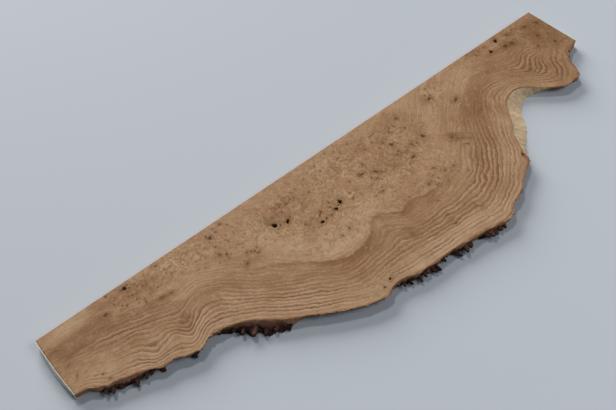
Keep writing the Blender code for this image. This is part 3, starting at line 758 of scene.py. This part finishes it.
class Wiring:
    """Short calls for placing and joining nodes in one tree."""

    def __init__(self, tree):
        self.tree = tree

    def feed(self, source, target):
        if isinstance(source, (int, float, str, tuple)):
            target.default_value = source
        else:
            self.tree.links.new(source, target)

    def node(self, kind, fed=None, **settings):
        """A new node with its settings, and its named or numbered inputs fed."""
        made = self.tree.nodes.new(kind)
        for key, value in settings.items():
            setattr(made, key, value)
        for key, source in (fed or {}).items():
            self.feed(source, made.inputs[key])
        return made

    def math(self, operation, a, b=0.0, c=0.0, clamp=False):
        made = self.node("ShaderNodeMath", {0: a, 1: b, 2: c}, operation=operation, use_clamp=clamp)
        return made.outputs[0]

    def product(self, first, *others):
        for other in others:
            first = self.math("MULTIPLY", first, other)
        return first

    def rest(self, value):
        """What a value leaves of 1."""
        return self.math("SUBTRACT", 1.0, value, clamp=True)

    def mix(self, factor, a, b):
        made = self.node("ShaderNodeMix", {0: factor, 6: a, 7: b}, data_type="RGBA", clamp_factor=True)
        return made.outputs[2]

    def tint(self, colour, other, *shares):
        """A colour drawn towards another by the product of some shares."""
        return self.mix(self.product(*shares), colour, other)

    def attribute(self, name):
        return self.node("ShaderNodeAttribute", attribute_name=name).outputs["Fac"]

    def parts(self, vector):
        return self.node("ShaderNodeSeparateXYZ", {0: vector}).outputs

    def noise(self, vector, scale, detail, roughness, distortion=0.0):
        made = self.node("ShaderNodeTexNoise", {"Vector": vector, "Scale": scale, "Detail": detail,
                                                "Roughness": roughness, "Distortion": distortion})
        return made.outputs["Fac"]

    def ramp(self, value, stops):
        made = self.node("ShaderNodeValToRGB", {"Fac": value})
        stop_list = made.color_ramp.elements
        while len(stop_list) > 1:
            stop_list.remove(stop_list[-1])
        for number, (place, level) in enumerate(stops):
            stop = stop_list[0] if number == 0 else stop_list.new(place)
            stop.position = place
            stop.color = (level, level, level, 1)
        return made.outputs["Color"]

    def spread(self, value, low, high):
        made = self.node("ShaderNodeMapRange", {"Value": value, "From Min": low, "From Max": high},
                         interpolation_type="SMOOTHSTEP")
        return made.outputs["Result"]


def mottle_group():
    """Cloudy and speckled unevenness of a natural surface, for the wood, the bark and the wax."""
    group = bpy.data.node_groups.new("natural_mottle", "ShaderNodeTree")
    add_sockets(group, "INPUT", ("Cloud Size", "Float", 40.0), ("Speck Size", "Float", 600.0))
    add_sockets(group, "OUTPUT", ("Clouds", "Float"), ("Specks", "Float"))
    w = Wiring(group)
    given = w.node("NodeGroupInput").outputs
    place = w.node("ShaderNodeTexCoord").outputs["Object"]
    w.node("NodeGroupOutput", {"Clouds": w.noise(place, given["Cloud Size"], 5, 0.5, 0.6),
                               "Specks": w.noise(place, given["Speck Size"], 3, 0.7)})
    return group


natural_mottle = mottle_group()


def mottled(w, cloud_size, speck_size):
    """The clouds and specks of the natural mottle, in one material's own sizes."""
    mottle = w.node("ShaderNodeGroup", node_tree=natural_mottle)
    mottle.inputs["Cloud Size"].default_value = cloud_size
    mottle.inputs["Speck Size"].default_value = speck_size
    return mottle.outputs["Clouds"], mottle.outputs["Specks"]


def new_finish(name):
    """A new material, with its wiring and its shader."""
    material = bpy.data.materials.new(name)
    material.use_nodes = True
    return material, Wiring(material.node_tree), material.node_tree.nodes["Principled BSDF"]


def add_relief(w, shader, height, strength, distance):
    """Fine relief on a finish, with its depth in metres."""
    bump = w.node("ShaderNodeBump", {"Strength": strength, "Distance": distance, "Height": height})
    w.feed(bump.outputs["Normal"], shader.inputs["Normal"])


def ash_grain(w, place):
    """Growth rings, fibres and pores of the bare wood, from the board's ring numbers."""
    ring = w.attribute("ring")
    for scale, detail, roughness, reach in ((55, 2, 0.5, 1.3), (150, 3, 0.6, 0.72), (330, 3, 0.6, 0.5)):
        push = w.math("SUBTRACT", w.noise(place, scale, detail, roughness), 0.5)
        ring = w.math("ADD", ring, w.product(push, reach))
    line = w.ramp(w.math("FRACT", ring),
                  [(0.0, 0.5), (0.1, 1.0), (0.27, 0.8), (0.46, 0.38), (0.68, 0.1), (0.9, 0.0), (1.0, 0.5)])
    white = w.node("ShaderNodeTexWhiteNoise", noise_dimensions="1D")
    w.feed(w.math("FLOOR", ring), white.inputs["W"])
    rings = w.product(line, w.math("MULTIPLY_ADD", white.outputs["Value"], 0.55, 0.45))
    x, y, _ = w.parts(place)

    def along_ring(across_scale, along_scale, detail, roughness):
        vector = w.node("ShaderNodeCombineXYZ", {0: w.product(ring, across_scale),
                                                 1: w.product(x, along_scale), 2: w.product(y, along_scale)})
        return w.noise(vector.outputs[0], 1.0, detail, roughness)

    return rings, along_ring(5.5, 42, 4, 0.62), w.spread(along_ring(13, 210, 2, 0.5), 0.56, 0.72)


TAN_WOOD = (0.392, 0.234, 0.125, 1)
ROSY_WOOD = (0.365, 0.203, 0.106, 1)
PALE_WOOD = (0.51, 0.342, 0.208, 1)
HEART_WOOD = (0.185, 0.082, 0.033, 1)
RING_LINE = (0.165, 0.072, 0.032, 1)
STREAK = (0.18, 0.078, 0.032, 1)
FIGURE_LINE = (0.2, 0.1, 0.04, 1)
OLIVE_FIGURE = (0.21, 0.118, 0.048, 1)
ROSY_FIGURE = (0.4, 0.2, 0.118, 1)
EYE_HALO = (0.16, 0.075, 0.026, 1)
EYE_RIM = (0.105, 0.043, 0.016, 1)
EYE_CORE = (0.013, 0.007, 0.004, 1)
RIND_DARK = (0.22, 0.1, 0.05, 1)
RIND_LIGHT = (0.5, 0.27, 0.145, 1)
INNER_BARK = (0.2, 0.082, 0.04, 1)
BARE_WOOD = (0.71, 0.52, 0.315, 1)


def burl_wood_material():
    material, w, shader = new_finish("burl_wood")
    place = w.node("ShaderNodeTexCoord").outputs["Object"]
    ring_lines, fibres, grain_pores = ash_grain(w, place)
    clouds, specks = mottled(w, 38, 900)
    burl = w.attribute("burl")
    straight = w.rest(w.product(burl, 0.9))
    outer = w.rest(w.product(w.spread(w.attribute("ring"), 9.5, 15.5), 0.78))
    outer = w.math("MAXIMUM", outer, w.attribute("bold"))
    patchy = w.spread(w.noise(place, 30, 3, 0.6), 0.3, 0.62)
    bold = w.math("ADD", w.math("MULTIPLY_ADD", patchy, 0.4, 0.16), w.product(w.attribute("bold"), 0.7))
    rings = w.product(ring_lines, straight, outer, bold)

    drift = w.math("SUBTRACT", clouds, 0.5)
    pale = w.math("ADD", w.attribute("pale"), w.product(drift, 1.2), clamp=True)
    heart = w.math("ADD", w.attribute("heart"), w.product(drift, -0.8), clamp=True)
    sapwood = w.rest(heart)
    colour = w.mix(w.spread(w.noise(place, 70, 3, 0.5), 0.4, 0.6), TAN_WOOD, ROSY_WOOD)
    colour = w.tint(colour, PALE_WOOD, pale, 0.9)
    colour = w.tint(colour, HEART_WOOD, heart, 0.79)
    streaks = w.spread(fibres, 0.36, 0.64)
    colour = w.tint(colour, STREAK, w.rest(streaks), straight, w.math("MULTIPLY_ADD", heart, 0.5, 0.25))
    colour = w.tint(colour, PALE_WOOD, streaks, streaks, straight, sapwood, 0.46)
    colour = w.tint(colour, RING_LINE, rings, 1.15)
    pores = w.product(grain_pores, w.math("MULTIPLY_ADD", rings, 1.1, 0.12))
    colour = w.tint(colour, RING_LINE, pores, 0.6)

    swirl = w.math("ADD", w.product(w.attribute("figure"), 1.5), w.product(w.noise(place, 190, 4, 0.65), 1.8))
    swirl_line = w.ramp(w.math("FRACT", swirl),
                        [(0.0, 0.7), (0.12, 1.0), (0.45, 0.15), (0.8, 0.0), (1.0, 0.7)])
    blotches = w.noise(place, 105, 5, 0.62, 2.4)
    rosy = w.spread(w.noise(place, 62, 3, 0.5), 0.5, 0.66)
    curls = w.spread(w.noise(place, 430, 4, 0.7, 1.6), 0.5, 0.74)
    grit = w.noise(place, 250, 4, 0.7, 1.4)
    colour = w.tint(colour, FIGURE_LINE, swirl_line, burl, 0.5)
    colour = w.tint(colour, OLIVE_FIGURE, w.spread(blotches, 0.5, 0.68), burl, 0.86)
    colour = w.tint(colour, PALE_WOOD, w.rest(w.spread(blotches, 0.3, 0.5)), sapwood, burl, 0.9)
    colour = w.tint(colour, ROSY_FIGURE, rosy, burl, 0.25)
    colour = w.tint(colour, FIGURE_LINE, curls, burl, 0.42)
    colour = w.tint(colour, RING_LINE, w.spread(specks, 0.58, 0.78), 0.22)
    colour = w.tint(colour, FIGURE_LINE, w.spread(grit, 0.5, 0.68), 0.3)
    colour = w.tint(colour, PALE_WOOD, w.rest(w.spread(grit, 0.32, 0.5)), 0.26)

    dots = w.node("ShaderNodeTexVoronoi", {"Vector": place, "Scale": 330}, voronoi_dimensions="2D")
    chance, firmness, _ = w.parts(dots.outputs["Color"])
    kept = w.math("LESS_THAN", chance, w.product(w.attribute("freckled"), 0.42))
    freckle = w.rest(w.spread(dots.outputs["Distance"], 0.12, 0.42))
    colour = w.tint(colour, EYE_RIM, freckle, kept, w.math("MULTIPLY_ADD", firmness, 0.4, 0.1))
    broken = w.spread(w.noise(place, 330, 3, 0.6), 0.3, 0.62)
    colour = w.tint(colour, EYE_HALO, w.attribute("halo"), broken, 0.95)
    eye = w.attribute("eye")
    core = w.spread(eye, 0.74, 1.0)
    colour = w.tint(colour, EYE_RIM, w.spread(eye, 0.1, 0.75), w.math("MULTIPLY_ADD", core, 0.15, 0.8))
    colour = w.mix(core, colour, EYE_CORE)

    edge_band = w.rest(w.spread(w.attribute("ring"), 0.12, 0.5))
    chips = w.spread(w.noise(place, 130, 3, 0.6), 0.42, 0.56)
    colour = w.tint(colour, INNER_BARK, edge_band, chips, 0.75)
    rind = w.attribute("rind")
    rind_colour = w.mix(clouds, RIND_DARK, RIND_LIGHT)
    rind_colour = w.tint(rind_colour, RIND_DARK, w.spread(specks, 0.45, 0.7), 0.8)
    colour = w.mix(rind, colour, rind_colour)
    bare_colour = w.tint(BARE_WOOD, TAN_WOOD, w.spread(blotches, 0.45, 0.7), 0.6)
    bare_colour = w.tint(bare_colour, HEART_WOOD, w.spread(specks, 0.58, 0.72), 0.4)
    colour = w.mix(w.attribute("bare"), colour, bare_colour)
    w.feed(colour, shader.inputs["Base Color"])

    rough = w.math("MULTIPLY_ADD", fibres, 0.16, 0.5)
    w.feed(w.math("ADD", rough, w.product(rind, 0.3), clamp=True), shader.inputs["Roughness"])
    height = w.product(pores, -1.0)
    for part in (w.product(fibres, 0.35), w.product(rings, -0.3), w.product(rind, specks)):
        height = w.math("ADD", height, part)
    add_relief(w, shader, height, 0.35, 0.00025)
    shader.inputs["Specular IOR Level"].default_value = 0.07
    return material


board = mesh_object("burl_board", board_points, board_faces, burl_wood_material())
for name, values in board_attributes(board_points).items():
    layer = board.data.attributes.new(name, "FLOAT", "POINT")
    layer.data.foreach_set("value", values.astype(np.float32))
board.data.shade_smooth()
board.data.set_sharp_from_angle(angle=math.radians(38))
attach(board, "root")
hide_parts("ash_burl")

# Bark still sits low on the natural edge in patches: a dark dry crust a millimetre or two thick, broken
# along its top, that grew on the wood. Each patch: start, end, how far down the wall it begins and how lumpy.
CRUST_PATCHES = [
    (17, 33, 0.3, 0.9), (35, 52, 0.25, 1), (82, 89, 0.3, 0.8), (113, 159, 0.03, 1.9), (250, 259, 0.74, 0.7),
    (264, 286, 0.62, 1.3), (290, 297, 0.75, 0.6), (303, 325, 0.66, 1.1), (335, 362, 0.6, 1.5),
    (572, 582, 0.2, 0.7),
]
CRUST_SHARES = (0.0, 0.12, 0.25, 0.38, 0.5, 0.62, 0.74, 0.86, 0.985)
CRUST_ROOT = 0.7
BARK_DARK = (0.014, 0.005, 0.005, 1)
BARK_LIGHT = (0.07, 0.026, 0.018, 1)
BARK_SPECK = (0.15, 0.06, 0.032, 1)
BARK_WOODY = (0.17, 0.075, 0.04, 1)


def crust_lift(x, y, share, lumpiness):
    """How far the crust stands off the wall: lumps a few millimetres long with a ragged surface."""
    lumps = noise.fractal((x / 6.0, y / 6.0, share * 2.2 + 20), 0.7, 2.2, 3)
    grit = noise.fractal((x / 1.7, y / 1.7, share * 4 + 40), 0.8, 2.0, 3)
    return max(0.15, lumpiness * (0.6 + 1.5 * lumps) + 0.45 * grit)


def crust_faces(columns, rows, start):
    """Faces of a closed strip whose outer and inner sheets have the same rows and columns."""
    faces = []
    inner = start + columns * rows
    for c in range(columns - 1):
        for r in range(rows - 1):
            a = start + c * rows + r
            faces.append((a, a + 1, a + rows + 1, a + rows))
            b = inner + c * rows + r
            faces.append((b, b + rows, b + rows + 1, b + 1))
        top_a, top_b = start + c * rows, start + (c + 1) * rows
        faces.append((top_a, top_b, top_b + columns * rows, top_a + columns * rows))
        foot_a, foot_b = top_a + rows - 1, top_b + rows - 1
        faces.append((foot_b, foot_a, foot_a + columns * rows, foot_b + columns * rows))
    for r in range(rows - 1):
        a = start + r
        faces.append((a + 1, a, a + columns * rows, a + 1 + columns * rows))
        b = start + (columns - 1) * rows + r
        faces.append((b, b + 1, b + 1 + columns * rows, b + columns * rows))
    return faces


def crust_strip(start_x, end_x, begins, lumpiness, first_index):
    """One stretch of crust, thinning to nothing at both ends."""
    chosen = [i for i in range(len(edge)) if start_x - 3 <= edge[i][0] <= end_x + 3]
    rows = len(CRUST_SHARES)
    outer, inner = [], []
    for i in chosen:
        x, y = edge[i][:2]
        top_share = begins + 0.2 * max(0.0, noise.fractal((x / 5, y / 5, 60), 0.7, 2, 3) + 0.35)
        from_end = min(x - start_x + 3, end_x + 3 - x)
        narrowing = min(1.0, max(0.0, from_end / 8 + 0.3 * noise.noise((x / 2, y / 2, 9))))
        top_share = 0.97 - (0.97 - min(top_share, 0.9)) * narrowing
        taper = float(within(x, start_x, end_x, 3))
        for row_share in CRUST_SHARES:
            share = top_share + (0.99 - top_share) * row_share
            lift = crust_lift(x, y, share, lumpiness) * taper * min(1, 0.25 + row_share * 4)
            stand = wall_stand(i, share)
            depth = THICKNESS * share
            outer.append((*(edge[i][:2] + edge_out[i] * (stand + lift)), depth))
            inner.append((*(edge[i][:2] + edge_out[i] * (stand - CRUST_ROOT)), depth))
    return outer + inner, crust_faces(len(chosen), rows, first_index)


def bark_material():
    material, w, shader = new_finish("dry_bark")
    clouds, specks = mottled(w, 150, 1300)
    height = w.parts(w.node("ShaderNodeTexCoord").outputs["Object"])[2]
    colour = w.mix(w.spread(clouds, 0.35, 0.7), BARK_DARK, BARK_LIGHT)
    colour = w.tint(colour, BARK_SPECK, w.spread(specks, 0.54, 0.75), 0.5)
    colour = w.tint(colour, BARK_WOODY, w.spread(height, 0.003, 0.007), 0.7)
    w.feed(colour, shader.inputs["Base Color"])
    w.feed(w.math("MULTIPLY_ADD", specks, 0.25, 0.68), shader.inputs["Roughness"])
    add_relief(w, shader, specks, 0.6, 0.0004)
    shader.inputs["Specular IOR Level"].default_value = 0.25
    return material


dry_bark = bark_material()
crust_points, crust_polygons = [], []
for patch in CRUST_PATCHES:
    strip_points, strip_faces = crust_strip(*patch, len(crust_points))
    crust_points += strip_points
    crust_polygons += strip_faces
crust = mesh_object("bark_crust", crust_points, crust_polygons, dry_bark)
crust.data.shade_smooth()
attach(crust, "root")

# Out of the crust stand spikes and torn lumps of bark, a few millimetres long, low over the table. The
# long ones stand within 5 mm of the solid's along the edge, each with its own reach, and small ones fill
# in between at the left.
BARK_SPIKES = [
    (21, 4.4, 2.8), (25, 7, 2.6), (30.5, 5, 2.8), (35.5, 2.8, 2.6), (43.5, 7.8, 2.8), (50, 4.6, 2.4),
    (54.5, 2.6, 2.2), (60.5, 1.2, 2), (86, 2.6, 2.4), (124, 4.2, 2.2), (130, 8.8, 2.1), (134.5, 10.6, 2.3),
    (138.8, 11.6, 2.4), (145.2, 10.8, 2.7), (151.5, 7.6, 2.4), (157, 4.2, 2.2), (247.5, 1.4, 2),
    (252.5, 5.2, 2.4), (257.6, 5.4, 2.2), (262, 1.6, 2), (266.9, 6, 2.4), (272.2, 5, 2.8), (276, 3.8, 3.2),
    (279.8, 6.2, 3.2), (283.6, 6.4, 2.7), (293.3, 3.2, 2), (298, 1.2, 2), (306.2, 8, 2.8), (311.5, 2.2, 2.2),
    (318.1, 7.4, 3.6), (322.5, 4.4, 3.2), (333.5, 1.2, 2), (339.4, 4.6, 3.2), (343.6, 6.8, 3.2),
    (349.8, 5.8, 3.4), (354.5, 4.6, 3.6), (358.8, 3.6, 3.2), (433.5, 2.6, 1.6),
]
SPIKE_SEED = 72
SPIKE_FLATNESS = 0.68
SPIKE_ROOT_DEPTH = 3.5
SPIKE_HEIGHT_ABOVE_FLOOR = 0.4
SMALL_SPIKE_STEP = 5.5
SMALL_SPIKES_END = 100
BARK_BELOW_FACE = 0.3 * MM
SPIKE_THICKENING = 1.15


def spike_rows(low, high):
    """Root, height, direction, length and radius of every spike on one stretch of the edge."""
    rng = random.Random(SPIKE_SEED)
    rows = []
    for x, reach, radius in BARK_SPIKES:
        if not low < x < high:
            continue
        i = int(np.argmin(np.abs(edge[:, 0] - x)))
        out = Vector((*edge_out[i], 0))
        direction = Matrix.Rotation(rng.uniform(-0.3, 0.3), 3, "Z") @ out
        direction.z = rng.uniform(-0.02, 0.16)
        root = edge[i][:2] - edge_out[i] * SPIKE_ROOT_DEPTH
        height = radius * SPIKE_FLATNESS + SPIKE_HEIGHT_ABOVE_FLOOR + rng.uniform(0, 1.1)
        stretch = rng.uniform(1.0, 1.5)
        rng.random()  # passed over, so that the draws after it stay as they are
        rows.append((root, height, direction, reach + SPIKE_ROOT_DEPTH, radius * stretch * SPIKE_THICKENING))
    for start_x, end_x, begins, _ in CRUST_PATCHES:
        if not low < start_x < min(high, SMALL_SPIKES_END):
            continue
        x = start_x
        while x < end_x:
            x += rng.uniform(0.5, 1.5) * SMALL_SPIKE_STEP
            i = int(np.argmin(np.abs(edge[:, 0] - x)))
            share = rng.uniform(begins + 0.25, 0.9)
            stand = wall_stand(i, share)
            out = Vector((*edge_out[i], 0))
            direction = Matrix.Rotation(rng.uniform(-0.7, 0.7), 3, "Z") @ out
            direction.z = rng.uniform(-0.25, 0.35)
            root = edge[i][:2] + edge_out[i] * (stand - 1.0)
            radius = rng.uniform(1.2, 2.6)
            rows.append((root, THICKNESS * (1 - share), direction, rng.uniform(1.6, 2.8), radius))
    return rows


def lying_angles(direction):
    """Turns that lay an upright cone along a direction, with its own X axis left pointing down."""
    level = math.hypot(direction.x, direction.y)
    return (0, math.atan2(level, direction.z), math.atan2(direction.y, direction.x))


def spike_tree():
    """Geometry nodes: a ragged few-sided spike on every point, along its stored direction."""
    tree = bpy.data.node_groups.new("bark_spikes", "GeometryNodeTree")
    add_sockets(tree, "INPUT", ("Geometry", "Geometry"), ("Sides", "Int", 9), ("Steps", "Int", 7),
                ("Tip Share", "Float", 0.24), ("Raggedness", "Float", 0.0032), ("Seed", "Float", 4.0),
                ("Bark", "Material"))
    add_sockets(tree, "OUTPUT", ("Geometry", "Geometry"))
    w = Wiring(tree)
    given = w.node("NodeGroupInput").outputs
    cone = w.node("GeometryNodeMeshCone",
                  {"Vertices": given["Sides"], "Side Segments": given["Steps"],
                   "Radius Top": given["Tip Share"], "Radius Bottom": 1.0, "Depth": 1.0}, fill_type="NGON")
    angles, size = (w.node("GeometryNodeInputNamedAttribute", {"Name": name}, data_type="FLOAT_VECTOR")
                    for name in ("angles", "size"))
    turn = w.node("FunctionNodeEulerToRotation", {"Euler": angles.outputs["Attribute"]})
    place = w.node("GeometryNodeInstanceOnPoints",
                   {"Points": given["Geometry"], "Instance": cone.outputs["Mesh"],
                    "Rotation": turn.outputs["Rotation"], "Scale": size.outputs["Attribute"]})
    real = w.node("GeometryNodeRealizeInstances", {"Geometry": place.outputs["Instances"]})
    ragged = w.node("ShaderNodeTexNoise", {"W": given["Seed"], "Scale": 420, "Detail": 3},
                    noise_dimensions="4D")
    centred = w.node("ShaderNodeVectorMath", {0: ragged.outputs["Color"], 1: (0.5, 0.5, 0.5)},
                     operation="SUBTRACT")
    push = w.node("ShaderNodeVectorMath", {0: centred.outputs[0], "Scale": given["Raggedness"]},
                  operation="SCALE")
    moved = w.node("GeometryNodeSetPosition", {"Geometry": real.outputs["Geometry"],
                                               "Offset": push.outputs[0]})
    painted = w.node("GeometryNodeSetMaterial", {"Geometry": moved.outputs["Geometry"],
                                                 "Material": given["Bark"]})
    w.node("NodeGroupOutput", {"Geometry": painted.outputs["Geometry"]})
    return tree


def baked(name, points, attributes, tree, inputs):
    """A plain mesh object from points with stored vectors and a geometry node tree."""
    source_mesh = bpy.data.meshes.new(name + "_points")
    source_mesh.from_pydata([tuple(p) for p in points], [], [])
    for key, rows in attributes.items():
        layer = source_mesh.attributes.new(key, "FLOAT_VECTOR", "POINT")
        layer.data.foreach_set("vector", np.asarray(rows, dtype=np.float32).ravel())
    source = bpy.data.objects.new(name + "_points", source_mesh)
    bpy.context.scene.collection.objects.link(source)
    modifier = source.modifiers.new(name, "NODES")
    modifier.node_group = tree
    for item in tree.interface.items_tree:
        if item.in_out == "INPUT" and item.name in inputs:
            modifier[item.identifier] = inputs[item.name]
    depsgraph = bpy.context.evaluated_depsgraph_get()
    mesh = bpy.data.meshes.new_from_object(source.evaluated_get(depsgraph))
    mesh.name = name
    source.modifiers.clear()
    bpy.data.objects.remove(source, do_unlink=True)
    piece = bpy.data.objects.new(name, mesh)
    bpy.context.scene.collection.objects.link(piece)
    return piece


for name, low, high, tip_share, raggedness in (("bark_teeth_left", 0, 100, 0.3, 0.003),
                                                ("bark_lumps", 100, 200, 0.42, 0.0034),
                                                ("bark_teeth_right", 200, 600, 0.28, 0.0033)):
    rows = spike_rows(low, high)
    roots = in_frame([(*root, THICKNESS - height) for root, height, *_ in rows])
    spikes = baked(name, roots,
                   {"angles": [lying_angles(row[2]) for row in rows],
                    "size": [(row[4] * SPIKE_FLATNESS * MM, row[4] * MM, row[3] * MM) for row in rows]},
                   spike_tree(), {"Tip Share": tip_share, "Raggedness": raggedness, "Bark": dry_bark})
    for vertex in spikes.data.vertices:
        vertex.co.y = max(vertex.co.y, slab_low[1])
        vertex.co.z = min(max(vertex.co.z, slab_low[2]), slab_high[2] - BARK_BELOW_FACE)
    spikes.data.shade_smooth()
    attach(spikes, "root")

# Both sawn ends were brushed with wax so that the wood dries slowly: a thin dull grey-white coat on the
# end grain, with a small lip that laps over the top edge.
WAX_LAP = 0.45
WAX_STEP = 1.2
WAX_SHARES = (0.12, 0.4, 0.7, 0.995)
WAX_ROOT = 0.25
WAX_DULL = (0.64, 0.58, 0.48, 1)
WAX_WHITE = (0.8, 0.75, 0.66, 1)
WAX_SPECK = (0.34, 0.3, 0.26, 1)


def wax_profile(y, face, side, seed):
    """Points round the coat's section at one place: outward distance and depth, outer line then inner."""
    lap = WAX_LAP * (0.85 + 0.5 * noise.fractal((y / 3.0, seed, 0), 0.8, 2, 3))
    coat = END_COAT - 0.06 * abs(noise.fractal((y / 1.2, seed, 5), 0.8, 2, 2))
    top = face(0.0) * side
    outer = [(top - lap, 0.12), (top - lap * 0.9, 0.01), (top - 0.15, 0), (top + coat * 0.8, 0.12)]
    outer += [(face(share) * side + coat, THICKNESS * share) for share in WAX_SHARES]
    inner = [(face(share) * side - WAX_ROOT, THICKNESS * share) for share in reversed(WAX_SHARES)]
    inner.append((top - lap * 0.9, 0.3))
    return outer + inner


def wax_strip(side, first_y, last_y, seed):
    """The coat on one end: side is -1 at the left end and 1 at the right."""
    ys = np.linspace(first_y, last_y, int(abs(last_y - first_y) / WAX_STEP) + 1)
    points = []
    for y in ys:
        def face(share):
            return left_end_x(y, share) + END_COAT if side < 0 else LENGTH - END_COAT

        points += [(side * out, y, depth) for out, depth in wax_profile(y, face, side, seed)]
    size = len(points) // len(ys)
    faces = []
    for row in range(len(ys) - 1):
        for k in range(size):
            a = row * size + k
            b = row * size + (k + 1) % size
            faces.append((a, b, b + size, a + size) if side < 0 else (a, a + size, b + size, b))
    first_cap = tuple(range(size))
    last_cap = tuple((len(ys) - 1) * size + k for k in range(size))
    faces += [first_cap[::-1], last_cap] if side < 0 else [first_cap, last_cap[::-1]]
    return points, faces


def wax_material():
    material, w, shader = new_finish("end_wax")
    clouds, specks = mottled(w, 90, 700)
    colour = w.mix(w.spread(clouds, 0.3, 0.7), WAX_DULL, WAX_WHITE)
    colour = w.tint(colour, WAX_SPECK, w.spread(specks, 0.5, 0.8), 0.5)
    w.feed(colour, shader.inputs["Base Color"])
    w.feed(w.math("MULTIPLY_ADD", specks, 0.3, 0.35), shader.inputs["Roughness"])
    add_relief(w, shader, specks, 0.3, 0.0003)
    return material


end_wax = wax_material()
for end_name, side, first_y, last_y, seed in (("end_wax_left", -1, -0.4, edge[0][1] + 0.4, 1.0),
                                              ("end_wax_right", 1, -0.4, edge[-1][1] + 1.2, 2.0)):
    wax_points, wax_polygons = wax_strip(side, first_y, last_y, seed)
    wax = mesh_object(end_name, wax_points, wax_polygons, end_wax)
    wax_bm = bmesh.new()
    wax_bm.from_mesh(wax.data)
    bmesh.ops.recalc_face_normals(wax_bm, faces=wax_bm.faces)
    wax_bm.to_mesh(wax.data)
    wax_bm.free()
    wax.data.shade_smooth()
    wax.data.set_sharp_from_angle(angle=math.radians(50))
    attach(wax, "root")
